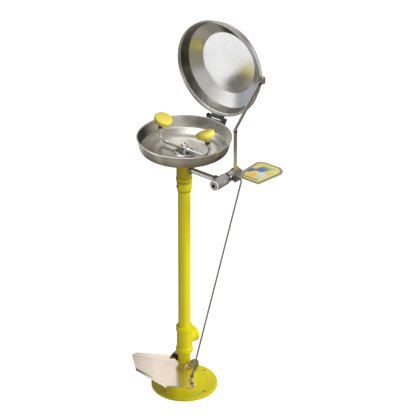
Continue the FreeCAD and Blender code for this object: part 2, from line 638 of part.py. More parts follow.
def make_lever():
    top = "valve_level + lever_length"
    lever = keep(new_body("lever"))
    left = "valve_y - lever_half_width"
    right = "valve_y + lever_half_width"
    extrude(lever, "YZ_Plane", "lever_x", "plate", outline=(
        (left, top), (left, "valve_level - 8"), ("valve_y - 3", "valve_level - 14"),
        ("rod_pin_y - 4", "rod_pin_level - 8"), ("rod_pin_y + 7", "rod_pin_level - 6"),
        ("valve_y + 40", "flag_level"), ("valve_y + 40", "flag_level + flag_gauge"),
        (right, "valve_level + 46"), (right, top),
    ))
    extrude(lever, "YZ_Plane", "lever_x", "plate", circles=((("valve_y", top), "lever_half_width"),))
    soften(lever, 3, lambda edge: edge.Length < value("plate") + 0.1
           and edge.CenterOfMass.z < value("rod_pin_level"))
    holes = (
        (("valve_y", "valve_level"), "stem_radius + press_gap"), (("valve_y", top), "pin_radius + press_gap"),
        (("rod_pin_y", "rod_pin_level"), "rod_radius + running_gap"),
    )
    extrude(lever, "YZ_Plane", "lever_x", "plate", circles=holes, cut=True)

    edge_x = "lever_x + plate"
    flag = keep(new_body("push_flag"))
    extrude(flag, "XY_Plane", "flag_level", "flag_gauge", outline=(
        (edge_x, "valve_y + 2"), ("lever_x + 12", "flag_front"), ("flag_side - 19", "flag_front"),
        ("flag_side", "flag_rear - 34"), ("flag_side - 8", "flag_rear - 13"),
        ("flag_side - 29", "flag_rear"), ("lever_x + 24", "flag_rear"), (edge_x, "flag_rear - 14"),
    ))
    soften(flag, 6, lambda edge: edge.Length < value("flag_gauge") + 0.1
           and edge.CenterOfMass.x > value("lever_x") + 6)

    label = keep(new_body("flag_label"))
    extrude(label, "XY_Plane", "flag_level + flag_gauge", "label_gauge", outline=(
        ("lever_x + 5 + label_inset", "valve_y + 40"), ("lever_x + 31", "flag_front + label_inset"),
        ("flag_side - 22", "flag_front + label_inset"), ("flag_side - label_inset", "flag_rear - 34"),
        ("flag_side - 12", "flag_rear - 16"), ("flag_side - 30", "flag_rear - label_inset"),
        ("lever_x + 27", "flag_rear - label_inset"), ("lever_x + 5 + label_inset", "flag_rear - 17"),
    ))
    soften(label, 4, lambda edge: edge.Length < value("label_gauge") + 0.1)

    keep(nut("lever_nut", "13", "stem_radius + press_gap", "3.6",
             ("lever_x + plate + 0.1", "valve_y", "valve_level"), X_AXIS))

    pivot = ("0", "valve_y", top)
    link = keep(new_body("cover_link"))
    reach = "sqrt((hinge_y - valve_y) ^ 2 + (hinge_level - valve_level) ^ 2)"
    extrude(link, "YZ_Plane", "link_x", "plate", outline=(
        ("0", "-link_half_width"), (reach, "-link_half_width"), (reach, "link_half_width"),
        ("0", "link_half_width"),
    ))
    for spot in (("0", "0"), (reach, "0")):
        extrude(link, "YZ_Plane", "link_x", "plate", circles=((spot, "link_half_width"),))
    holes = ((("0", "0"), "pin_radius + running_gap"), ((reach, "0"), "pin_radius + open_gap"))
    extrude(link, "YZ_Plane", "link_x", "plate", circles=holes, cut=True)
    slope = math.degrees(math.atan2(value("hinge_level - valve_level"), value("hinge_y - valve_y")))
    place(link, pivot, turn=slope, about=X_AXIS)

    keep(turned("lever_link_pin", (
        ("0", "-6"), ("pin_radius", "-6"), ("pin_radius", "3"), ("6.2", "3"), ("6.2", "5"), ("4.5", "6.6"),
        ("0", "6.6"),
    ), ("lever_x", "valve_y", top), X_AXIS))


# ---------------------------------------------------------------- cover and hinge


def open_cover(thing):
    """Swings a piece that was modelled closed up to the open position."""
    hinge = FreeCAD.Vector(0, value("hinge_y"), value("hinge_level"))
    swing = FreeCAD.Rotation(X_AXIS, -90)
    thing.Placement = FreeCAD.Placement(FreeCAD.Vector(), swing, hinge).multiply(thing.Placement)
    return thing


def cover_envelope(gap):
    """The space that the closed cover fills, grown by a gap, for cutting pieces that lie against it."""
    return (
        ("0", "cover_rim - 12"), (f"cover_radius + {gap}", "cover_rim - 12"),
        (f"cover_radius + {gap}", f"cover_rim + lip_height + {gap}"),
        (f"skirt_radius + {gap}", f"cover_rim + lip_height + 2 + {gap}"),
        (f"skirt_top_radius + {gap}", f"skirt_level + {gap}"),
        (f"crown_radius + {gap}", f"crown_level + {gap}"), ("0", f"crown_level + {gap}"),
    )


def make_cover():
    cover = keep(new_body("dust_cover"))
    revolve(cover, (
        ("cover_radius - 2", "cover_rim"), ("cover_radius", "cover_rim"),
        ("cover_radius", "cover_rim + lip_height"), ("skirt_radius", "cover_rim + lip_height + 2"),
        ("skirt_top_radius", "skirt_level"), ("crown_radius", "crown_level"), ("0", "crown_level"),
        ("0", "crown_level - gauge"), ("crown_radius - 0.6", "crown_level - gauge"),
        ("skirt_top_radius - gauge", "skirt_level - 1"),
        ("skirt_radius - gauge - 0.1", "cover_rim + lip_height + 0.8"),
        ("cover_radius - 2", "cover_rim + lip_height - 0.8"),
    ))
    soften(cover, 5, ring_at("skirt_top_radius", "skirt_level"))
    soften(cover, 3.5, ring_at("skirt_top_radius - gauge", "skirt_level - 1"))
    open_cover(cover)

    leaf = keep(new_body("cover_hinge_leaf"))
    extrude(leaf, "YZ_Plane", "-cover_knuckle_half", "2 * cover_knuckle_half", outline=(
        ("hinge_y - 3", "hinge_level - 2"), ("hinge_y + 4.5", "hinge_level"),
        ("hinge_y + 1", "hinge_level + 14"), ("hinge_y - 7", "hinge_level + 26"),
        ("hinge_y - 10", "hinge_level + 38"), ("hinge_y - 24", "hinge_level + 38"),
        ("hinge_y - 20", "hinge_level + 4"),
    ))
    knuckle = ((("hinge_y", "hinge_level"), "knuckle_radius"),)
    extrude(leaf, "YZ_Plane", "-cover_knuckle_half", "2 * cover_knuckle_half", circles=knuckle)
    revolve(leaf, cover_envelope("0.02"), cut=True)
    pin_bore = ((("hinge_y", "hinge_level"), "hinge_pin_radius + running_gap"),)
    extrude(leaf, "YZ_Plane", "hinge_left", "hinge_right - hinge_left", circles=pin_bore, cut=True)
    open_cover(leaf)

    lug = keep(new_body("cover_lug"))
    joint = ("valve_y - valve_y + hinge_y - lever_length", "hinge_level")
    extrude(lug, "YZ_Plane", "cover_radius + 1.4", "plate", outline=(
        (f"{joint[0]} - 8", "hinge_level"), (f"{joint[0]} + 8", "hinge_level"),
        (f"{joint[0]} + 12", "skirt_level - 6"), (f"{joint[0]} - 12", "skirt_level - 6"),
    ))
    extrude(lug, "YZ_Plane", "cover_radius + 1.4", "plate", circles=((joint, "8"),))
    extrude(lug, "YZ_Plane", "skirt_top_radius - 4", "cover_radius + 5.4 - skirt_top_radius", outline=(
        (f"{joint[0]} - 12", "skirt_level - 24"), (f"{joint[0]} + 12", "skirt_level - 24"),
        (f"{joint[0]} + 12", "skirt_level - 6"), (f"{joint[0]} - 12", "skirt_level - 6"),
    ))
    revolve(lug, cover_envelope("0.02"), cut=True)
    extrude(lug, "YZ_Plane", "cover_radius", "8", circles=((joint, "pin_radius + press_gap"),), cut=True)
    open_cover(lug)

    pin = turned("cover_link_pin", (
        ("0", "0"), ("pin_radius", "0"), ("pin_radius", "8.8"), ("6", "8.8"), ("6", "10.6"), ("4.2", "12"),
        ("0", "12"),
    ), ("cover_radius + 1", joint[0], joint[1]), X_AXIS)
    keep(open_cover(pin))


def make_hinge():
    leaf = keep(new_body("bowl_hinge_leaf"))
    extrude(leaf, "YZ_Plane", "hinge_left", "hinge_right - hinge_left", outline=(
        ("hinge_y - 30", "rim_level - 36"), ("hinge_y - 14", "rim_level - 36"),
        ("hinge_y - 14", "rim_level - 24"), ("hinge_y - 1", "hinge_level - 8"),
        ("hinge_y - 5", "hinge_level - 5.8"), ("hinge_y - 16", "hinge_level - 8"),
        ("hinge_y - 30", "hinge_level - 8"),
    ))
    for start, width in (
        ("hinge_left", "-hinge_left - cover_knuckle_half - 0.5"),
        ("cover_knuckle_half + 0.5", "hinge_right - cover_knuckle_half - 0.5"),
    ):
        extrude(leaf, "YZ_Plane", start, width, outline=(
            ("hinge_y - 25", "rim_level - 16"), ("hinge_y - 14", "rim_level - 24"),
            ("hinge_y + 4.9", "hinge_level - 1"), ("hinge_y", "hinge_level"),
            ("hinge_y - 4.9", "hinge_level - 1"), ("hinge_y - 15", "rim_level - 6"),
            ("hinge_y - 25", "rim_level - 6"),
        ))
        knuckle = ((("hinge_y", "hinge_level"), "knuckle_radius"),)
        extrude(leaf, "YZ_Plane", start, width, circles=knuckle)
    revolve(leaf, (
        ("0", "rim_level - 44"), ("wall_foot_radius - 0.4", "rim_level - 44"),
        ("wall_top_radius + 0.02", "rim_level - rim_bead - 0.02"),
        ("rim_radius + 0.3", "rim_level - rim_bead - 0.02"), ("rim_radius + 0.3", "rim_level + 20"),
        ("0", "rim_level + 20"),
    ), cut=True)
    pin_bore = ((("hinge_y", "hinge_level"), "hinge_pin_radius + press_gap"),)
    extrude(leaf, "YZ_Plane", "hinge_left - 1", "hinge_right - hinge_left + 2", circles=pin_bore, cut=True)
    rivet_holes = [((f"{side} * 15", "rim_level - 29.5"), "2.55") for side in (-1, 1)]
    extrude(leaf, "XZ_Plane", "135", "30", circles=rivet_holes, cut=True)

    keep(tube("hinge_pin", "hinge_pin_radius", "0", "hinge_right - hinge_left + 10",
              ("hinge_left - 8", "hinge_y", "hinge_level"), X_AXIS))
    stop = keep(new_body("hinge_stop"))
    extrude(stop, "YZ_Plane", "hinge_left - 9.5", "9.3", outline=(
        ("hinge_y - 7", "hinge_level - 12"), ("hinge_y + 5", "hinge_level - 12"),
        ("hinge_y + 5", "hinge_level + 4"), ("hinge_y - 7", "hinge_level + 4"),
    ))
    soften(stop, 1.5, lambda edge: edge.Length > 9 and abs(edge.tangentAt(edge.FirstParameter).x) > 0.9)
    extrude(stop, "YZ_Plane", "hinge_left - 8.05", "9",
            circles=((("hinge_y", "hinge_level"), "hinge_pin_radius + press_gap"),), cut=True)

    rivets = [turned(f"hinge_rivet_{side}", (
        ("0", "-11"), ("2.5", "-11"), ("2.5", "0"), ("4.6", "0"), ("4", "1.4"), ("2", "2.3"), ("0", "2.5"),
    ), (f"{side} * 15", "hinge_y - 14", "rim_level - 29.5"), Y_AXIS) for side in (-1, 1)]
    keep(group("hinge_rivets", rivets))


# ---------------------------------------------------------------- treadle and pull rod


def make_treadle():
    treadle = keep(new_body("treadle"))
    bottom = "treadle_top - treadle_gauge"
    half = ((77, "treadle_front"), (148, "treadle_front + 48"), (146, "treadle_front + 70"), (60, "-18"))
    outline = [(str(side), up) for side, up in half]
    outline += [(f"-{side}", up) for side, up in reversed(half)]
    extrude(treadle, "XY_Plane", bottom, "treadle_gauge", outline=outline)
    soften(treadle, 7, lambda edge: edge.Length < value("treadle_gauge") + 0.1
           and abs(edge.CenterOfMass.x) > 100)
    extrude(treadle, "XY_Plane", "treadle_top - 12", "11", outline=(
        ("-77", "treadle_front"), ("77", "treadle_front"), ("77", "treadle_front + 2.5"),
        ("-77", "treadle_front + 2.5"),
    ))
    extrude(treadle, "XY_Plane", bottom, "treadle_gauge",
            circles=((("0", "0"), "pipe_radius + 9"),), cut=True)
    for start in ("ear_inner", "-ear_inner - plate"):
        extrude(treadle, "YZ_Plane", start, "plate", outline=(
            ("-54", "treadle_top"), ("-54", "treadle_top - 6"), ("-13", "pivot_level - 20"),
            ("0", "pivot_level"), ("-10", "pivot_level + 26.1"), ("-25", "treadle_top + 9"),
            ("-38", "treadle_top"),
        ))
        extrude(treadle, "YZ_Plane", start, "plate", circles=((("0", "pivot_level"), "ear_radius"),))
        extrude(treadle, "YZ_Plane", start, "plate",
                circles=((("0", "pivot_level"), "bolt_radius + running_gap"),), cut=True)
    extrude(treadle, "XY_Plane", bottom, "treadle_gauge", outline=(
        ("slot_side - 6", "slot_back - 7"), ("slot_side - 3", "slot_back - 10"),
        ("slot_side + 3", "slot_back - 10"), ("slot_side + 6", "slot_back - 7"),
        ("slot_side + 6", "slot_back + 9"), ("slot_side + 3", "slot_back + 12"),
        ("slot_side - 3", "slot_back + 12"), ("slot_side - 6", "slot_back + 9"),
    ), cut=True)
    place(treadle, turn="base_turn")

    turn = FreeCAD.Rotation(Z_AXIS, value("base_turn"))
    side_axis = turn.multVec(X_AXIS)

    def on_pivot(distance):
        spot = side_axis * distance
        return (spot.x, spot.y, "pivot_level")

    outer = value("ear_inner + plate")
    keep(turned("treadle_bolt", (
        ("0", "0"), ("bolt_radius", "0"), ("bolt_radius", "107"), ("8.5", "107"), ("8.5", "112"),
        ("7.5", "113"), ("0", "113"),
    ), on_pivot(outer + 2.2 - 107), side_axis))
    washers = [tube(f"treadle_washer_{name}", "11", "bolt_radius + press_gap", "1.8",
                    on_pivot(side * (outer + 0.2)), side_axis * side)
               for side, name in ((-1, "left"), (1, "right"))]
    keep(group("treadle_washers", washers))
    keep(nut("treadle_nut", "17", "bolt_radius + press_gap", "8", on_pivot(-(outer + 2.2)), side_axis * -1))

    spacers = []
    for side, name in ((-1, "left"), (1, "right")):
        spacer = new_body(f"treadle_spacer_{name}")
        extrude(spacer, "YZ_Plane", "0", "ear_inner - 0.3", circles=((("0", "0"), "spacer_radius"),))
        extrude(spacer, "YZ_Plane", "0", "ear_inner", circles=((("0", "0"), "bolt_radius + press_gap"),),
                cut=True)
        extrude(spacer, "XY_Plane", "-20", "40", circles=((("0", "0"), "pipe_radius + press_gap"),), cut=True)
        face = "base_turn" if side > 0 else "base_turn + 180"
        spacers.append(place(spacer, ("0", "0", "pivot_level"), turn=face))
    keep(group("treadle_spacers", spacers))


def make_rod():
    """The pull rod hooks into the lever and hangs down through the slot in the treadle."""
    slot_x = "(slot_side * cos(base_turn * 1 deg) - slot_back * sin(base_turn * 1 deg))"
    slot_y = "(slot_side * sin(base_turn * 1 deg) + slot_back * cos(base_turn * 1 deg))"
    fall = f"sqrt((rod_pin_y - {slot_y}) ^ 2 + (rod_pin_level - treadle_top) ^ 2)"
    share = f"(1 + rod_tail / {fall})"
    end = (f"rod_x - (rod_x - {slot_x}) * {share}", f"{fall} * {share}")
    rod = keep(bent_tube("pull_rod", (("lever_x - 1.9", "0"), ("rod_x", "0"), end), "rod_radius", None, "6.5"))
    swing = math.degrees(math.atan2(value(f"rod_pin_y - {slot_y}"), value("rod_pin_level - treadle_top")))
    base = ("0", "rod_pin_y", "rod_pin_level")
    place(rod, base, turn=180 - swing, about=X_AXIS)

    keep(place(tube("rod_clip", "5.6", "rod_radius + press_gap", "1.2", ("0", "0", "0")),
               ("lever_x - 1.8", "rod_pin_y", "rod_pin_level"), aim=X_AXIS))

    turn = FreeCAD.Rotation(X_AXIS, 180 - swing)
    tip = turn.multVec(FreeCAD.Vector(value(end[0]), 0, value(end[1])))
    tip += FreeCAD.Vector(0, value("rod_pin_y"), value("rod_pin_level"))
    slope = FreeCAD.Vector(value(end[0]) - value("rod_x"), 0, value(end[1]))
    along = turn.multVec(slope).normalize() * -1
    keep(group("rod_nuts", [
        nut(f"rod_nut_{name}", "11", "rod_radius + press_gap", "6.5", tuple(tip + along * reach), along)
        for name, reach in (("lower", 5.5), ("upper", 33))
    ]))


# ---------------------------------------------------------------- build and write

make_base()
make_coupling()
make_bowl()
make_yoke()
make_supply()
make_valve()
make_lever()
make_cover()
make_hinge()
make_treadle()
make_rod()
doc.recompute()

failed = [item.Label for item in doc.Objects if {"Invalid", "Error"} & set(item.State)]
for node in nodes:
    if node.Shape.isNull() or not node.Shape.isValid():
        failed.append(node.Label)
if failed:
    raise RuntimeError(f"these objects did not build: {sorted(set(failed))}")

os.makedirs("parts", exist_ok=True)
for node in nodes:
    node.Shape.exportStep(f"parts/{node.Label}.step")
print(f"{len(nodes)} sub-parts written")
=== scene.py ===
import json
import math
from math import cos, pi, radians, sin

import bmesh
import bpy
from mathutils import Matrix, Vector


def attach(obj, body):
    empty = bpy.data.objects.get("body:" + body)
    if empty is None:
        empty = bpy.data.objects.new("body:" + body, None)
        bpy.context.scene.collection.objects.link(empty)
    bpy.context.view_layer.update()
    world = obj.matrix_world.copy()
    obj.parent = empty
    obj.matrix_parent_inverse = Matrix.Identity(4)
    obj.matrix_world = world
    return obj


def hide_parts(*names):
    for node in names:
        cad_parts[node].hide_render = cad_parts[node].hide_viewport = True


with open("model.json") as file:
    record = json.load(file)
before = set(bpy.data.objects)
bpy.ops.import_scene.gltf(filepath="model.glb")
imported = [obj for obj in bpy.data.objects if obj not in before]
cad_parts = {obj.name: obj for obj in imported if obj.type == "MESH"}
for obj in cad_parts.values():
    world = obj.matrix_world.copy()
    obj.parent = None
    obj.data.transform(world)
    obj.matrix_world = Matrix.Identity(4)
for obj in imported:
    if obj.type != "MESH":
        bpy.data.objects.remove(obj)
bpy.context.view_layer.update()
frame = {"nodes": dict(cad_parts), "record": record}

NODES = frame["nodes"]
BODY_OF = {name: body for body, names in frame["record"]["behaviour"]["bodies"].items() for name in names}
SLOT_OF = {part["node"]: part["material_slot"] for part in frame["record"]["subparts"]}
MM = 0.001
UP = Vector((0.0, 0.0, 1.0))
scene = bpy.context.scene

# ------------------------------------------------------------------ places that the finishes and the painted light and shade are laid out by
# In metres, unless a line says millimetres.

# Two level directions at right angles, 37.5 degrees round from X and Y.
SIDEWAYS = (0.793, 0.609)
BACKWARDS = (-0.609, 0.793)

# The middle of the bowl's rim, and of the open cover's.
BOWL_CENTRE = (0.0, 0.0, 0.963)
COVER_CENTRE = (0.0, 0.1755, 1.1385)

# Heights below the bowl's rim, each the start and end of a change in its painted reflections, highlight and
# shade.
BOWL_FLOOR_EDGE = (-0.0415, -0.0385)
BOWL_OUTER_SHADE_BAND = (-0.036, -0.014)
BOWL_RIM_HIGHLIGHT = (-0.0042, -0.0034)
# The middle of the bowl's wall: its radius at the rim, and what that gains per metre of height.
BOWL_WALL_RADIUS = 0.15535
BOWL_WALL_LEAN = 0.2336
# The direction, sideways and backwards, in which a painted reflection makes the bowl's floor brighter, and
# where it does.
BOWL_FLOOR_REFLECTION_SLANT = (0.6, 0.8)
BOWL_FLOOR_CHANGE = (-0.05, 0.06)

# Rings on the cover, each from its rise to its fall in radius, where dark reflections are painted, and the
# direction of its top as it stands.
COVER_CORNER = ((0.1490, 0.1520), (0.1615, 0.1635))
COVER_SLOPE = ((0.107, 0.110), (0.1525, 0.1550))
COVER_TOP = (0.20, 0.98)

# Height and half width of the dark lines in the coupling, painted shade in its grooves.
COUPLING_GROOVE_SHADE = ((0.7985, 0.0055), (0.7645, 0.0040), (0.8155, 0.0025))
# The heights between which the enamel is painted browner, a painted shadow under the bowl.
BOWL_SHADOW_HEIGHTS = (0.785, 0.822)
# The flange has a dark line of painted shade at its step, and painted shade on its front, below its top.
FLANGE_STEP_RADIUS = 0.079
FLANGE_TOP = (0.018, 0.026)
FLANGE_SHADED_FRONT = (0.75, -0.66)

# The level directions along the treadle's pivot and across it, and the ear on which a yellow reflection is
# painted.
TREADLE_AXIS = (0.990, -0.139)
TREADLE_AHEAD = (0.139, 0.990)
TREADLE_PIVOT_HEIGHT = 0.090
TREADLE_EAR_RADIUS = (0.0275, 0.0290)
TREADLE_EAR_FACE = (0.0395, 0.0415)
# Where, sideways, the treadle changes from painted shade to bright.
TREADLE_SHADE_CHANGE = (-0.21, -0.10)

# The sign's outline, seen from above, in millimetres.
SIGN_CORNERS = (
    (185.5, 82), (207.5, 40.5), (273, 40.5), (291, 140), (283, 158), (265, 170), (203.5, 170), (185.5, 157),
)
# Soft ovals on the sign, in millimetres sideways and backwards: middle, reach, softness, strength, colour.
SIGN_OVALS = (
    ((247, -2), (40, 24), 0.6, 0.7, (0.78, 0.55, 0.14)),
    ((230, -74), (28, 20), 0.6, 0.9, (0.88, 0.50, 0.10)),
    ((274, -66), (20, 10), 0.6, 0.6, (0.80, 0.42, 0.14)),
    ((253, -72), (14, 24), 0.35, 1.0, (0.62, 0.76, 0.70)),
    ((240, -93), (10, 13), 0.5, 1.0, (0.62, 0.62, 0.45)),
)
# The sign's wave, in the same millimetres.
WAVE_LENGTH = 52.0
WAVE_CREST = 207.0
WAVE_DEPTH = -38.5
# The sign's row of dashes, in millimetres along X and Y.
DASH_STEP = 6.5
DASHES_MIDDLE = (233.0, 56.0)
DASHES_REACH = (26.0, 4.5)

# Where the socket in the strainer's plug ends; it is painted black inside, as shade.
PLUG_SOCKET_SHADE_RADIUS = (0.0055, 0.0070)

# ------------------------------------------------------------------ node helpers


class Nodes:
    """A short way to write a node tree. A value is a number, a tuple or another node's output."""

    def __init__(self, tree):
        self.tree = tree

    def add(self, kind, **settings):
        node = self.tree.nodes.new(kind)
        for key, value in settings.items():
            setattr(node, key, value)
        return node

    def link(self, source, socket):
        if isinstance(source, bpy.types.NodeSocket):
            self.tree.links.new(source, socket)
        else:
            socket.default_value = source

    def math(self, operation, first, second=0.0, third=None, clamp=False):
        node = self.add("ShaderNodeMath", operation=operation, use_clamp=clamp)
        self.link(first, node.inputs[0])
        self.link(second, node.inputs[1])
        if third is not None:
            self.link(third, node.inputs[2])
        return node.outputs[0]

    def vector(self, operation, first, second=(0, 0, 0), scale=None):
        node = self.add("ShaderNodeVectorMath", operation=operation)
        self.link(first, node.inputs[0])
        self.link(second, node.inputs[1])
        if scale is not None:
            self.link(scale, node.inputs["Scale"])
        return node.outputs["Value" if operation in ("LENGTH", "DOT_PRODUCT") else "Vector"]

    def place(self):
        return self.add("ShaderNodeTexCoord").outputs["Object"]

    def split(self, vector):
        node = self.add("ShaderNodeSeparateXYZ")
        self.link(vector, node.inputs[0])
        return node.outputs

    def join(self, x, y, z):
        node = self.add("ShaderNodeCombineXYZ")
        for value, socket in zip((x, y, z), node.inputs):
            self.link(value, socket)
        return node.outputs[0]

    def length(self, x, y):
        return self.vector("LENGTH", self.join(x, y, 0.0))

    def weighted(self, first, second, weights):
        """The two values, each times its weight, added; with a direction, how far a place lies along it."""
        first = self.math("MULTIPLY", first, weights[0])
        second = self.math("MULTIPLY", second, weights[1])
        return self.math("ADD", first, second)

    def noise(self, vector, scale, detail=3.0, rough=0.5, w=None):
        node = self.add("ShaderNodeTexNoise", noise_dimensions="3D" if w is None else "4D")
        self.link(vector, node.inputs["Vector"])
        node.inputs["Scale"].default_value = scale
        node.inputs["Detail"].default_value = detail
        node.inputs["Roughness"].default_value = rough
        if w is not None:
            self.link(w, node.inputs["W"])
        return node.outputs["Fac"]

    def spread(self, value, low, high, to_low=0.0, to_high=1.0, smooth=False):
        """Takes the range from low to high to the range from to_low to to_high, and stays inside it."""
        node = self.add("ShaderNodeMapRange", interpolation_type="SMOOTHSTEP" if smooth else "LINEAR")
        self.link(value, node.inputs["Value"])
        limits = {"From Min": low, "From Max": high, "To Min": to_low, "To Max": to_high}
        for name, number in limits.items():
            node.inputs[name].default_value = number
        return node.outputs["Result"]

    def vary(self, noise, low=0.0, high=1.0):
        """Takes a noise, most of which is between 0.3 and 0.7, to a range."""
        return self.spread(noise, 0.3, 0.7, low, high)

    def marks(self, noise):
        """Takes a noise to the range from 0 to 1 with more contrast, for brushing and spinning marks."""
        return self.spread(noise, 0.36, 0.64)

    def band(self, value, rise, fall):
        """1 between the end of the rise and the start of the fall, and 0 outside them."""
        return self.math("MULTIPLY", self.spread(value, *rise), self.spread(value, *fall, 1.0, 0.0))

    def stripe(self, value, middle, core, reach, strength):
        """A stripe about a value: its strength up to the core's distance, and 0 at its reach."""
        distance = self.math("ABSOLUTE", self.math("SUBTRACT", value, middle))
        return self.spread(distance, core, reach, strength, 0.0)

    def mix(self, factor, first, second):
        node = self.add("ShaderNodeMix", data_type="RGBA")
        self.link(factor, node.inputs[0])
        for colour, socket in ((first, node.inputs[6]), (second, node.inputs[7])):
            self.link(colour if isinstance(colour, bpy.types.NodeSocket) else (*colour, 1.0), socket)
        return node.outputs[2]

    def bump(self, height, strength, distance, normal=None):
        node = self.add("ShaderNodeBump")
        self.link(height, node.inputs["Height"])
        node.inputs["Strength"].default_value = strength
        node.inputs["Distance"].default_value = distance
        if normal is not None:
            self.link(normal, node.inputs["Normal"])
        return node.outputs["Normal"]


def new_material(name, **sockets):
    """A Principled material; sockets are given by name with _ for a space."""
    material = bpy.data.materials.new(name)
    material.use_nodes = True
    nodes = Nodes(material.node_tree)
    shader = material.node_tree.nodes["Principled BSDF"]
    for key, value in sockets.items():
        shader.inputs[key.replace("_", " ")].default_value = value
    return material, nodes, shader


def set_surface(n, shader, colour, rough, normal):
    n.link(colour, shader.inputs["Base Color"])
    n.link(rough, shader.inputs["Roughness"])
    n.link(normal, shader.inputs["Normal"])


# ------------------------------------------------------------------ materials


def enamel(name, cast):
    """Yellow enamel over iron, with a painted shadow that makes it browner under the bowl; cast pieces have
    a rougher skin, and painted shade in dark lines at the coupling's grooves, at the flange's step and on
    the flange's front below its top.
    """
    material, n, shader = new_material(name, Coat_Weight=0.08, Coat_Roughness=0.15, Specular_IOR_Level=0.28)
    place = n.place()
    dirt = n.noise(place, 55.0, 5.0, 0.6)
    paint = n.mix(n.vary(n.noise(place, 9.0, 4.0)), (0.80, 0.715, 0.004), (0.86, 0.77, 0.007))
    paint = n.mix(n.spread(dirt, 0.62, 0.8, 0.0, 0.25), paint, (0.45, 0.38, 0.03))
    x, y, z = n.split(place)
    # Painted shadow under the bowl: the enamel is mixed towards brown with height.
    paint = n.mix(n.spread(z, *BOWL_SHADOW_HEIGHTS, 0.0, 0.70), paint, (0.42, 0.28, 0.001))
    skin = n.bump(n.noise(place, 260.0, 2.0), 0.10, 0.0006)
    if cast:
        # Painted shade: dark lines at the coupling's grooves.
        for height, reach in COUPLING_GROOVE_SHADE:
            groove_shade = n.stripe(z, height, reach * 0.3, reach, 0.62)
            paint = n.mix(groove_shade, paint, (0.20, 0.15, 0.001))
        # Painted shade on the flange: a dark line at its step, and darker on its front side.
        step = n.stripe(n.length(x, y), FLANGE_STEP_RADIUS, 0.001, 0.003, 0.30)
        front = n.spread(n.weighted(x, y, FLANGE_SHADED_FRONT), -0.03, 0.10, 0.0, 0.42)
        flange = n.spread(z, *FLANGE_TOP, 1.0, 0.0)
        shade = n.math("MULTIPLY", n.math("MAXIMUM", step, front), flange)
        paint = n.mix(shade, paint, (0.35, 0.30, 0.015))
        skin = n.bump(n.noise(place, 120.0, 5.0, 0.65), 0.30, 0.0012, skin)
    set_surface(n, shader, paint, n.vary(dirt, 0.26, 0.42), skin)
    return material


def moulded_yellow():
    material, n, shader = new_material(
        "yellow_plastic", Subsurface_Weight=0.12, Subsurface_Radius=(0.004, 0.003, 0.001),
        Subsurface_Scale=1.0, IOR=1.49)
    place = n.place()
    colour = n.mix(n.vary(n.noise(place, 30.0, 3.0)), (0.90, 0.76, 0.09), (0.95, 0.82, 0.13))
    rough = n.vary(n.noise(place, 400.0, 2.0), 0.30, 0.42)
    set_surface(n, shader, colour, rough, n.bump(n.noise(place, 900.0, 2.0), 0.08, 0.0003))
    return material


def streaked(colour, darker, lighter):
    """The dark and the light of a steel's marks, as shares of its colour."""
    dark = tuple(c * (1.0 - darker) for c in colour)
    light = tuple(min(1.0, c * (1.0 + lighter)) for c in colour)
    return dark, light


def spun_steel(name, centre, axis, colour, rough, streak, aniso, painted_tones):
    """Stainless sheet finished by spinning: fine rings about the axis through centre, and wiping marks; the
    colour is then multiplied by painted reflections and shade laid out by place.
    """
    material, n, shader = new_material(name, Metallic=1.0, Anisotropic=aniso)
    place = n.vector("SUBTRACT", n.place(), centre)
    x, y, z = n.split(place)
    across, up, along = (x, y, z) if axis == "Z" else (x, z, y)
    flat = n.join(across, up, 0.0)
    radius = n.vector("LENGTH", flat)
    cosine, sine, _ = n.split(n.vector("NORMALIZE", flat))
    rings = n.join(radius, along, n.math("MULTIPLY", cosine, 0.0022))
    fine = n.noise(rings, 900.0, 4.0, 0.65, w=n.math("MULTIPLY", sine, 2.0))
    broad = n.noise(rings, 120.0, 3.0, 0.6, w=n.math("MULTIPLY", sine, 0.6))
    wipe = n.noise(place, 11.0, 3.0, 0.5)
    tone = n.weighted(fine, broad, (0.5, 0.5))
    sheet = n.mix(n.marks(tone), *streaked(colour, 0.22 * streak, 0.14 * streak))
    # The sheet's colour times painted reflections and shade, laid out by place.
    sheet = n.vector("MULTIPLY", sheet, painted_tones(n, radius, along, cosine, sine))
    dulled = n.math("ADD", n.vary(tone, -0.05, 0.05), n.vary(wipe, -0.04, 0.05))
    relief = n.bump(n.weighted(fine, broad, (0.3, 1.0)), 0.04 * streak, 0.0002)
    set_surface(n, shader, sheet, n.math("ADD", dulled, rough), relief)
    tangent = n.add("ShaderNodeTangent", direction_type="RADIAL", axis=axis)
    n.link(tangent.outputs[0], shader.inputs["Tangent"])
    return material


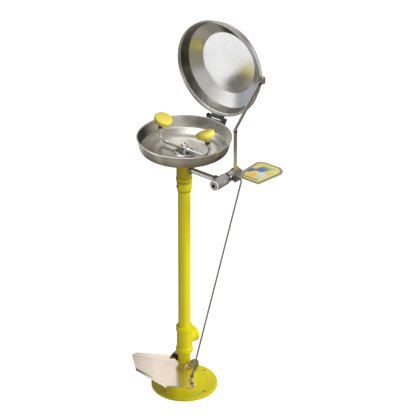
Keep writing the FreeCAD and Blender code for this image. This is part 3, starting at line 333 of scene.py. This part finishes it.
def bowl_painted_reflections(n, radius, along, cosine, sine):
    """Painted reflections, highlight and shade on the bowl: its floor brighter towards one side, the wall
    inside it dark on one side and brighter on the other, its outside darker edge-on and lower down, and its
    rim bright.
    """
    to_side = n.weighted(cosine, sine, SIDEWAYS)
    to_back = n.weighted(cosine, sine, BACKWARDS)
    slant = n.math("MULTIPLY", n.weighted(to_side, to_back, BOWL_FLOOR_REFLECTION_SLANT), radius)
    # Painted reflection: the floor brighter towards the back and one side.
    ground = n.mix(n.spread(slant, *BOWL_FLOOR_CHANGE), (0.64, 0.62, 0.58), (1.36, 1.36, 1.36))
    # Painted reflection: the inner wall dark on one side and brighter on the other.
    inner = n.mix(n.spread(to_side, -0.95, -0.45, smooth=True), (0.08, 0.073, 0.06), (1.1, 1.1, 1.1))
    inner = n.mix(n.spread(to_side, 0.3, 0.9, smooth=True), inner, (1.3, 1.3, 1.3))
    # Painted shade: the outside darker where it turns edge-on, and lower down.
    edge_on = n.spread(n.math("ABSOLUTE", to_side), 0.25, 0.95, smooth=True)
    shade = n.mix(edge_on, (1.14, 1.12, 1.04), (0.50, 0.49, 0.47))
    outer = n.mix(n.spread(along, *BOWL_OUTER_SHADE_BAND, smooth=True), (0.74, 0.70, 0.62), (1.12, 1.12, 1.12))
    outer = n.vector("MULTIPLY", outer, shade)
    middle = n.math("MULTIPLY_ADD", along, BOWL_WALL_LEAN, BOWL_WALL_RADIUS)
    wall = n.mix(n.math("GREATER_THAN", radius, middle), inner, outer)
    # Painted highlight along the rim's bead.
    wall = n.mix(n.spread(along, *BOWL_RIM_HIGHLIGHT), wall, (1.33, 1.33, 1.33))
    return n.mix(n.spread(along, *BOWL_FLOOR_EDGE), ground, wall)


def cover_painted_reflections(n, radius, along, cosine, sine):
    """Painted reflections on the cover: dark in the corner of its wall on one side, and darker at the top of
    its slope.
    """
    one_side = n.spread(cosine, -0.85, -0.35, 1.0, 0.0, smooth=True)
    corner = n.math("MULTIPLY", n.band(radius, *COVER_CORNER), one_side)
    upper = n.spread(n.weighted(cosine, sine, COVER_TOP), 0.86, 0.97, smooth=True)
    slope = n.math("MULTIPLY", n.band(radius, *COVER_SLOPE), upper)
    # Painted reflections: darker at the top of the slope, darkest in the corner on one side.
    dulled = n.mix(slope, (1.0, 1.0, 1.0), (0.38, 0.38, 0.39))
    return n.mix(corner, dulled, (0.18, 0.165, 0.135))


def brushed_steel():
    """Stainless bar and small plate with straight brushing that is long along Z."""
    material, n, shader = new_material("stainless", Metallic=1.0)
    place = n.place()
    fine = n.noise(n.vector("MULTIPLY", place, (900.0, 900.0, 30.0)), 1.0, 4.0, 0.65)
    wipe = n.noise(place, 16.0, 4.0, 0.55)
    colour = n.mix(n.marks(fine), *streaked((0.66, 0.64, 0.60), 0.125, 0.075))
    rough = n.math("ADD", n.vary(fine, -0.05, 0.06), n.vary(wipe, -0.04, 0.06))
    set_surface(n, shader, colour, n.math("ADD", rough, 0.30), n.bump(fine, 0.03, 0.0005))
    return material


def satin_plate():
    """The treadle: satin stainless brushed along X, painted darker towards one end as shade, with a yellow
    reflection painted on one ear.
    """
    material, n, shader = new_material("stainless_satin", Metallic=1.0)
    place = n.place()
    fine = n.noise(n.vector("MULTIPLY", place, (40.0, 1100.0, 1100.0)), 1.0, 4.0, 0.65)
    shade_wobble = n.noise(place, 14.0, 4.0, 0.55)
    x, y, z = n.split(place)
    # Painted shade: the plate darker towards one end, its edge wobbled by noise.
    lit_share = n.spread(n.weighted(x, y, SIDEWAYS), *TREADLE_SHADE_CHANGE)
    lit_share = n.math("ADD", lit_share, n.vary(shade_wobble, -0.12, 0.12), clamp=True)
    bright = n.mix(n.marks(fine), (0.79, 0.69, 0.61), (0.87, 0.77, 0.70))
    plate = n.mix(lit_share, (0.34, 0.29, 0.25), bright)
    above = n.math("SUBTRACT", z, TREADLE_PIVOT_HEIGHT)
    # Painted reflection: one ear of the treadle tinted yellow, as if it mirrored the yellow base.
    from_pivot = n.length(n.weighted(x, y, TREADLE_AHEAD), above)
    on_face = n.spread(n.weighted(x, y, TREADLE_AXIS), *TREADLE_EAR_FACE)
    ear_reflection = n.math("MULTIPLY", n.spread(from_pivot, *TREADLE_EAR_RADIUS, 0.8, 0.0), on_face)
    rough = n.math("ADD", n.vary(fine, -0.03, 0.04), 0.20)
    set_surface(n, shader, n.mix(ear_reflection, plate, (0.95, 0.84, 0.08)), rough, n.bump(fine, 0.02, 0.0004))
    return material


def chrome():
    material, n, shader = new_material("chrome", Metallic=1.0)
    place = n.place()
    film = n.noise(place, 45.0, 5.0, 0.6)
    colour = n.mix(n.spread(film, 0.35, 0.7), (0.97, 0.98, 0.99), (0.88, 0.89, 0.90))
    rough = n.spread(film, 0.3, 0.75, 0.04, 0.11)
    set_surface(n, shader, colour, rough, n.bump(n.noise(place, 130.0, 2.0), 0.025, 0.0006))
    return material


def mottled(name, dark, light, rough, texture, metallic=1.0):
    """A surface whose colour and roughness vary in soft spots; texture is their scale and relief."""
    scale, strength = texture
    material, n, shader = new_material(name, Metallic=metallic)
    tone = n.noise(n.place(), scale, 4.0, 0.6)
    colour = n.mix(n.vary(tone), dark, light)
    set_surface(n, shader, colour, n.vary(tone, *rough), n.bump(tone, strength, 0.0006))
    return material


def old_plug():
    """The strainer's end plug: grey, with its socket in the middle painted black as shade."""
    material, n, shader = new_material("old_plug", Metallic=1.0)
    place = n.place()
    corners = [Vector(corner) for corner in NODES["strainer_plug"].bound_box]
    middle = sum(corners, Vector()) / len(corners)
    x, _, z = n.split(n.vector("SUBTRACT", place, middle))
    tone = n.noise(place, 150.0, 4.0, 0.6)
    face = n.mix(n.vary(tone), (0.40, 0.38, 0.34), (0.52, 0.50, 0.46))
    # Painted shade: the socket in the plug's middle is black.
    socket = n.spread(n.length(x, z), *PLUG_SOCKET_SHADE_RADIUS, 1.0, 0.0)
    face = n.mix(socket, face, (0.01, 0.01, 0.01))
    set_surface(n, shader, face, n.vary(tone, 0.38, 0.55), n.bump(tone, 0.1, 0.0006))
    return material


def open_foam():
    material, n, shader = new_material("foam")
    cells = n.add("ShaderNodeTexVoronoi", feature="F1")
    n.link(n.place(), cells.inputs["Vector"])
    cells.inputs["Scale"].default_value = 900.0
    depth = cells.outputs["Distance"]
    # Painted shade: the foam is darker in the pits of its cells.
    colour = n.mix(n.spread(depth, 0.1, 0.6), (0.02, 0.02, 0.022), (0.14, 0.14, 0.15))
    set_surface(n, shader, colour, 0.95, n.bump(depth, 0.6, 0.0008))
    return material


def sign_wave(n, colour, along, deep):
    """A blue wave across the sign, which turns green and then grey as it runs out."""
    crest = n.math("COSINE", n.math("MULTIPLY", n.math("SUBTRACT", along, WAVE_CREST), 2 * pi / WAVE_LENGTH))
    width = n.math("MULTIPLY_ADD", crest, 5.0, 12.5)
    distance = n.math("ABSOLUTE", n.math("SUBTRACT", deep, WAVE_DEPTH))
    wave = n.spread(n.math("SUBTRACT", distance, width), -2.0, 2.0, 1.0, 0.0, smooth=True)
    wave = n.math("MULTIPLY", wave, n.spread(along, 282.0, 306.0, 1.0, 0.0))
    tint = n.mix(n.spread(along, 205.0, 255.0), (0.12, 0.13, 0.24), (0.08, 0.20, 0.40))
    tint = n.mix(n.spread(along, 262.0, 276.0), tint, (0.26, 0.40, 0.30))
    tint = n.mix(n.spread(along, 278.0, 295.0), tint, (0.45, 0.42, 0.38))
    return n.mix(wave, colour, tint)


def sign_dashes(n, colour, x, y):
    """A row of dark dashes near the sign's front edge."""
    step = n.math("FRACT", n.math("DIVIDE", x, DASH_STEP))
    dashes = n.math("GREATER_THAN", step, 0.25)
    for value, middle, reach in zip((x, y), DASHES_MIDDLE, DASHES_REACH):
        dashes = n.math("MULTIPLY", dashes, n.math("COMPARE", value, middle, reach))
    return n.mix(n.math("MULTIPLY", dashes, 0.85), colour, (0.10, 0.10, 0.02))


def sign_border(n, colour, x, y):
    """A dark border along the sign's outline."""
    outside = -100.0
    for first, second in zip(SIGN_CORNERS, SIGN_CORNERS[1:] + SIGN_CORNERS[:1]):
        edge = (Vector(second) - Vector(first)).normalized()
        outward = Vector((edge.y, -edge.x))
        reach = n.math("SUBTRACT", n.weighted(x, y, outward), outward.dot(Vector(first)))
        outside = n.math("MAXIMUM", reach, outside)
    return n.mix(n.spread(outside, -6.5, -5.0, smooth=True), colour, (0.27, 0.26, 0.18))


def sign_picture():
    """A made-up picture: a blue wave, a pale drop and a warm wash on yellow, over plain dashes."""
    material, n, shader = new_material("sign_face", Coat_Weight=0.3, Coat_Roughness=0.15)
    place = n.place()
    wobble = n.noise(place, 45.0, 3.0, 0.6)
    x, y, _ = n.split(n.vector("SCALE", place, scale=1.0 / MM))
    shift = n.vary(wobble, -3.0, 3.0)
    along = n.math("ADD", n.weighted(x, y, SIDEWAYS), shift)
    deep = n.math("ADD", n.weighted(x, y, BACKWARDS), shift)
    colour = n.mix(n.spread(wobble, 0.35, 0.65), (0.76, 0.68, 0.12), (0.80, 0.74, 0.20))
    for middle, reach, softness, strength, tint in SIGN_OVALS:
        across = n.math("DIVIDE", n.math("SUBTRACT", along, middle[0]), reach[0])
        down = n.math("DIVIDE", n.math("SUBTRACT", deep, middle[1]), reach[1])
        oval = n.spread(n.length(across, down), 1.0 - softness, 1.0 + softness, 1.0, 0.0, smooth=True)
        colour = n.mix(n.math("MULTIPLY", oval, strength), colour, tint)
    colour = sign_wave(n, colour, along, deep)
    colour = sign_dashes(n, colour, x, y)
    colour = sign_border(n, colour, x, y)
    relief = n.bump(n.noise(place, 500.0, 2.0), 0.05, 0.0003)
    set_surface(n, shader, colour, n.vary(wobble, 0.28, 0.42), relief)
    return material


# Scale and relief of the spots in a mottled surface.
FINE = (200.0, 0.15)
WORN = (150.0, 0.1)
SOFT = (90.0, 0.04)
MATERIALS = {
    "satin_chrome": mottled("satin_chrome", (0.84, 0.86, 0.87), (0.96, 0.97, 0.98), (0.24, 0.34), SOFT),
    "pipe_chrome": mottled("pipe_chrome", (0.50, 0.51, 0.50), (0.62, 0.63, 0.62), (0.14, 0.26), SOFT),
    "old_plug": old_plug(),
    "worn_steel": mottled("worn_steel", (0.20, 0.18, 0.145), (0.30, 0.27, 0.215), (0.38, 0.55), WORN),
    "rod_steel": mottled("rod_steel", (0.60, 0.55, 0.545), (0.70, 0.65, 0.645), (0.30, 0.42), SOFT),
    "cast_enamel": enamel("cast_enamel", True),
    "yellow_enamel": enamel("yellow_enamel", False),
    "yellow_plastic": moulded_yellow(),
    "stainless": brushed_steel(),
    "bowl_steel": spun_steel(
        "bowl_steel", BOWL_CENTRE, "Z", (0.75, 0.73, 0.69), rough=0.24, streak=0.3, aniso=0.35,
        painted_tones=bowl_painted_reflections),
    "cover_steel": spun_steel(
        "cover_steel", COVER_CENTRE, "Y", (0.80, 0.79, 0.765), rough=0.20, streak=0.5, aniso=0.2,
        painted_tones=cover_painted_reflections),
    "stainless_satin": satin_plate(),
    "chrome": chrome(),
    "brass": mottled("brass", (0.55, 0.38, 0.14), (0.66, 0.48, 0.20), (0.22, 0.36), WORN),
    # On the hinge leaves this dark steel is also painted shade, the shade under the cover.
    "dark_steel": mottled("dark_steel", (0.10, 0.095, 0.09), (0.20, 0.19, 0.18), (0.28, 0.44), WORN),
    "black_rubber": mottled(
        "black_rubber", (0.012, 0.012, 0.012), (0.03, 0.03, 0.03), (0.7, 0.85), FINE, metallic=0.0),
    "black_plastic": mottled(
        "black_plastic", (0.014, 0.014, 0.014), (0.032, 0.031, 0.03), (0.38, 0.5), FINE, metallic=0.0),
    "white_plastic": mottled(
        "white_plastic", (0.72, 0.70, 0.64), (0.80, 0.79, 0.75), (0.35, 0.5), FINE, metallic=0.0),
    "foam": open_foam(),
    "sign_face": sign_picture(),
}
# Nodes that look other than their slot's usual material.
FINISH = {
    "floor_flange": "cast_enamel", "drain_tee": "cast_enamel", "top_coupling": "cast_enamel",
    "bowl": "bowl_steel", "dust_cover": "cover_steel", "drain_strainer": "pipe_chrome",
    "supply_pipe": "pipe_chrome", "strainer_body": "satin_chrome", "strainer_plug": "old_plug",
    "supply_nuts": "worn_steel", "rod_nuts": "worn_steel", "rod_clip": "worn_steel", "pull_rod": "rod_steel",
}


def give_finish(mesh, node):
    mesh.materials.clear()
    mesh.materials.append(MATERIALS[FINISH.get(node, SLOT_OF[node])])


for node_name, thing in NODES.items():
    give_finish(thing.data, node_name)

# ------------------------------------------------------------------ shapes

SAME_PLACE = 2e-6
FLAT_ANGLE = radians(0.3)
SHARP_ANGLE = radians(38.0)
SEGMENTS = 160

# Closed outlines in millimetres: the radius, the height and the rounding of each corner.
# Bowl: one spun sheet with its rim rolled over into a hollow bead.
BOWL_OUTLINE = (
    (20.6, 903.0, 0), (106.0, 903.0, 88.0), (146.5, 921.5, 7.0), (154.9, 958.2, 0.8), (157.3, 959.4, 1.6),
    (157.3, 963.0, 1.7), (153.7, 963.0, 1.2), (153.7, 959.4, 1.0), (145.0, 922.3, 5.5), (105.6, 904.5, 86.5),
    (20.6, 904.5, 0),
)
# Cover: as it lies shut.
COVER_OUTLINE = (
    (164.6, 964.0, 0.8), (166.6, 964.0, 0.9), (166.6, 976.0, 1.6), (161.8, 978.0, 1.0), (153.0, 1006.5, 5.0),
    (107.5, 1028.5, 1.2), (0, 1028.5, 0), (0, 1027.0, 0), (106.9, 1027.0, 1.0), (151.5, 1005.5, 3.5),
    (160.2, 976.8, 1.0), (164.6, 975.2, 1.0),
)
# The cover is swung up from there about its hinge.
HINGE = Vector((0.0, 0.175, 0.9635))
SWING = Matrix.Translation(HINGE) @ Matrix.Rotation(radians(-90), 4, "X") @ Matrix.Translation(-HINGE)


def add_piece(name, mesh, node):
    """Shows a mesh in place of a CAD node, on its body."""
    piece = bpy.data.objects.new(name, mesh)
    scene.collection.objects.link(piece)
    give_finish(mesh, node)
    mesh.polygons.foreach_set("use_smooth", [True] * len(mesh.polygons))
    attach(piece, BODY_OF[node])
    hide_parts(node)
    return piece


def soften(node, width):
    """Shows the node's own shape with every sharp edge rounded over, by a width in millimetres."""
    name = node + "_shape"
    mesh = NODES[node].data.copy()
    mesh.name = name
    for attribute in ("custom_normal", "sharp_face", "sharp_edge"):
        if attribute in mesh.attributes:
            mesh.attributes.remove(mesh.attributes[attribute])
    shape = bmesh.new()
    shape.from_mesh(mesh)
    bmesh.ops.remove_doubles(shape, verts=shape.verts, dist=SAME_PLACE)
    bmesh.ops.dissolve_limit(shape, angle_limit=FLAT_ANGLE, verts=shape.verts, edges=shape.edges)
    bmesh.ops.recalc_face_normals(shape, faces=shape.faces)
    shape.to_mesh(mesh)
    shape.free()
    bevel = add_piece(name, mesh, node).modifiers.new("edges", "BEVEL")
    bevel.width = width * MM
    bevel.segments = 2
    bevel.limit_method = "ANGLE"
    bevel.angle_limit = SHARP_ANGLE
    bevel.harden_normals = True
    bevel.use_clamp_overlap = True


def rounded(outline, steps):
    """Points of a closed outline of (radius, height, rounding) corners, each rounded one as an arc."""
    points = []
    for index, (reach, level, rounding) in enumerate(outline):
        corner = Vector((reach, level))
        if rounding <= 0:
            points.append(corner)
            continue
        before = Vector(outline[index - 1][:2]) - corner
        after = Vector(outline[(index + 1) % len(outline)][:2]) - corner
        half = before.angle(after) / 2
        setback = min(rounding / math.tan(half), before.length * 0.49, after.length * 0.49)
        radius = setback * math.tan(half)
        before.normalize()
        after.normalize()
        centre = corner + (before + after).normalized() * (radius / sin(half))
        first = corner + before * setback - centre
        last = corner + after * setback - centre
        sweep = first.angle_signed(last)
        for step in range(steps + 1):
            bend = Matrix.Rotation(-sweep * step / steps, 2)
            points.append(centre + bend @ first)
    return points


def lathe(name, node, outline, steps, turn=Matrix.Identity(4)):
    """Shows an outline in millimetres, turned about Z and then moved by a matrix, in place of a node."""
    shape = bmesh.new()
    rings = []
    angles = [2 * pi * index / SEGMENTS for index in range(SEGMENTS)]
    for radius, level in rounded(outline, steps):
        if radius == 0:
            rings.append([shape.verts.new((0, 0, level * MM))] * SEGMENTS)
            continue
        places = [(radius * cos(angle) * MM, radius * sin(angle) * MM, level * MM) for angle in angles]
        rings.append([shape.verts.new(place) for place in places])
    for first, second in zip(rings, rings[1:] + rings[:1]):
        for index in range(SEGMENTS):
            after = (index + 1) % SEGMENTS
            # A ring on the axis is one point, so each point is taken once.
            loop = list(dict.fromkeys((first[index], first[after], second[after], second[index])))
            if len(loop) > 2:
                shape.faces.new(loop)
    bmesh.ops.recalc_face_normals(shape, faces=shape.faces)
    shape.transform(turn)
    mesh = bpy.data.meshes.new(name)
    shape.to_mesh(mesh)
    shape.free()
    add_piece(name, mesh, node).modifiers.new("shading", "WEIGHTED_NORMAL").keep_sharp = True


lathe("bowl_shell", "bowl", BOWL_OUTLINE, steps=8)
lathe("cover_shell", "dust_cover", COVER_OUTLINE, steps=6, turn=SWING)

# How wide the edges of a node are rounded over, in millimetres.
EDGES = {
    "floor_flange": 1.6, "drain_tee": 1.8, "top_coupling": 1.2, "pedestal_pipe": 0.4, "lower_nipple": 0.4,
    "treadle": 0.5, "lever": 0.5, "cover_link": 0.5, "push_flag": 0.4, "cover_lug": 0.5,
    "cover_hinge_leaf": 0.5, "bowl_hinge_leaf": 0.5, "drain_strainer": 0.35, "yoke_body": 0.7,
    "yoke_cap": 0.6, "yoke_nuts": 0.5, "head_nuts": 0.5, "supply_nuts": 0.6, "strainer_body": 0.6,
    "strainer_plug": 0.6, "union_nut": 0.6, "valve_body": 0.6, "inlet_end_cap": 0.6, "packing_nut": 0.4,
    "lever_nut": 0.4, "supply_pipe": 0.2, "bowl_locknut": 0.6, "treadle_bolt": 0.4, "treadle_nut": 0.4,
    "treadle_washers": 0.3, "treadle_spacers": 0.4, "left_head_cup": 0.6, "right_head_cup": 0.6,
    "left_spray_face": 0.5, "right_spray_face": 0.5, "rod_nuts": 0.4, "rod_clip": 0.2,
    "coupling_screw": 0.3, "drain_spud": 0.3,
}
for node_name, edge_width in EDGES.items():
    soften(node_name, edge_width)

# ------------------------------------------------------------------ floor

FLOOR_REACH = 30.0
FLOOR_HEIGHT = -0.0004
floor_corners = [(x * FLOOR_REACH, y * FLOOR_REACH, 0) for x, y in ((-1, -1), (1, -1), (1, 1), (-1, 1))]
floor_mesh = bpy.data.meshes.new("floor")
floor_mesh.from_pydata(floor_corners, [], [(0, 1, 2, 3)])
floor = bpy.data.objects.new("floor", floor_mesh)
scene.collection.objects.link(floor)
floor.location.z = FLOOR_HEIGHT
floor_paint, floor_nodes, floor_shader = new_material(
    "floor_paint", Roughness=0.85, Specular_IOR_Level=0.0, Emission_Strength=0.88,
    Emission_Color=(1.0, 1.0, 1.0, 1.0))
floor_tone = floor_nodes.vary(floor_nodes.noise(floor_nodes.place(), 3.0))
floor_colour = floor_nodes.mix(floor_tone, (0.54, 0.54, 0.54), (0.56, 0.56, 0.56))
floor_nodes.link(floor_colour, floor_shader.inputs["Base Color"])
floor_mesh.materials.append(floor_paint)
floor.visible_glossy = False
floor.visible_diffuse = False

# ------------------------------------------------------------------ camera

CAMERA_AZIMUTH = radians(37.5)
CAMERA_HEIGHT = radians(28.98)
CAMERA_ROLL = radians(0.26)
CAMERA_DISTANCE = 8.0
CAMERA_LENS = 206.16
TARGET_HEIGHT = 0.6872
TARGET_ASIDE = 0.08567
right = Vector((cos(CAMERA_AZIMUTH), sin(CAMERA_AZIMUTH), 0))
away = UP.cross(right)
back = UP * sin(CAMERA_HEIGHT) - away * cos(CAMERA_HEIGHT)
up = back.cross(right)
rolled_right = right * cos(CAMERA_ROLL) + up * sin(CAMERA_ROLL)
rolled_up = up * cos(CAMERA_ROLL) - right * sin(CAMERA_ROLL)
target = right * TARGET_ASIDE + UP * TARGET_HEIGHT
lens = bpy.data.cameras.new("camera")
lens.lens = CAMERA_LENS
lens.sensor_width = 36.0
lens.clip_end = 100.0
camera = bpy.data.objects.new("camera", lens)
scene.collection.objects.link(camera)
facing = Matrix((rolled_right, rolled_up, back)).transposed().to_4x4()
camera.matrix_world = Matrix.Translation(target + back * CAMERA_DISTANCE) @ facing
scene.camera = camera
scene.view_settings.view_transform = "Standard"

# ------------------------------------------------------------------ studio
# A white backdrop, soft light that is stronger from one side, and what the metal sees, painted by direction.

STUDIO_FLOOR = (0.22, 0.205, 0.17)
STUDIO_WALLS = (0.20, 0.185, 0.16)
STUDIO_CEILING = (0.46, 0.445, 0.42)
SOFTBOXES = (
    # direction, how near to it the light starts and is full (as cosines), colour
    ((-0.53, -0.40, -0.75), 0.93, 0.98, (0.28, 0.26, 0.22)),
    ((-0.75, -0.03, -0.69), 0.94, 0.985, (0.34, 0.34, 0.35)),
    ((-0.53, -0.70, -0.47), 0.93, 0.985, (1.10, 1.11, 1.15)),
    ((-0.36, -0.90, 0.25), 0.95, 0.985, (0.80, 0.80, 0.81)),
    ((-0.55, -0.80, 0.24), 0.965, 0.985, (1.30, 1.30, 1.32)),
    ((0.04, -0.99, 0.09), 0.94, 0.98, (0.57, 0.57, 0.57)),
    ((-0.905, -0.404, -0.06), 0.95, 0.988, (0.44, 0.48, 0.54)),
    ((0.21, -0.90, -0.38), 0.94, 0.985, (0.29, 0.27, 0.20)),
    ((0.53, -0.69, -0.485), 0.94, 0.985, (0.10, 0.09, 0.07)),
    ((-0.36, -0.72, 0.60), 0.945, 0.980, (0.012, 0.011, 0.008)),
    ((0.10, -0.77, 0.62), 0.965, 0.99, (0.05, 0.045, 0.035)),
    ((-0.70, -0.50, 0.51), 0.955, 0.988, (0.55, 0.55, 0.54)),
    ((0.13, -0.60, -0.79), 0.95, 0.985, (0.30, 0.29, 0.26)),
    ((-0.815, 0.318, -0.485), 0.96, 0.985, (0.80, 0.78, 0.75)),
    ((-0.10, -0.35, 0.93), 0.93, 0.975, (1.35, 1.35, 1.32)),
    ((-0.40, 0.10, 0.91), 0.93, 0.98, (1.55, 1.54, 1.50)),
    ((0.80, -0.50, 0.25), 0.94, 0.98, (1.45, 1.45, 1.42)),
    ((0.48, -0.30, 0.82), 0.93, 0.98, (1.05, 1.04, 1.00)),
    ((-0.56, 0.57, 0.60), 0.960, 0.988, (1.20, 1.18, 1.12)),
    ((-0.42, 0.80, 0.42), 0.975, 0.992, (0.34, 0.32, 0.27)),
    ((0.19, 0.98, -0.11), 0.92, 0.98, (0.64, 0.64, 0.64)),
    ((-0.39, 0.92, -0.05), 0.94, 0.985, (0.62, 0.62, 0.63)),
    ((0.45, 0.70, 0.50), 0.94, 0.98, (0.40, 0.40, 0.40)),
)
# The light on matt surfaces is even, plus more from the right, the front and above.
AMBIENT = 0.37
LEAST_LIGHT = 0.02
SIDE_LIGHT = right * 0.36 - Vector((*BACKWARDS, 0.0)) * 0.42 + UP * 0.05

world = bpy.data.worlds.new("studio")
scene.world = world
world.use_nodes = True
sky = Nodes(world.node_tree)
direction = sky.vector("NORMALIZE", sky.add("ShaderNodeTexCoord").outputs["Generated"])
height = sky.split(direction)[2]
seen = sky.mix(sky.spread(height, -0.45, -0.05, smooth=True), STUDIO_FLOOR, STUDIO_WALLS)
seen = sky.mix(sky.spread(height, -0.05, 0.55, smooth=True), seen, STUDIO_CEILING)
for aim, edge, full, colour in SOFTBOXES:
    nearness = sky.vector("DOT_PRODUCT", direction, Vector(aim).normalized())
    seen = sky.mix(sky.spread(nearness, edge, full, smooth=True), seen, colour)
side = sky.math("ADD", sky.vector("DOT_PRODUCT", direction, SIDE_LIGHT), AMBIENT)
side = sky.math("MAXIMUM", side, LEAST_LIGHT)
ray = sky.add("ShaderNodeLightPath").outputs
room = sky.mix(ray["Is Camera Ray"], sky.join(side, side, side), (1.0, 1.0, 1.0))
background = world.node_tree.nodes["Background"]
sky.link(sky.mix(ray["Is Glossy Ray"], room, seen), background.inputs["Color"])

KEY_PLACE = Vector((2.0, 1.1, 2.6))
KEY_AIM = Vector((0, 0, 0.7))
KEY_SIZE = 1.1
KEY_POWER = 62.0
light = bpy.data.lights.new("key", "AREA")
light.size = KEY_SIZE
light.energy = KEY_POWER
lamp = bpy.data.objects.new("key", light)
scene.collection.objects.link(lamp)
lamp.location = KEY_PLACE
lamp.rotation_euler = (KEY_AIM - KEY_PLACE).to_track_quat("-Z", "Y").to_euler()
lamp.visible_glossy = False
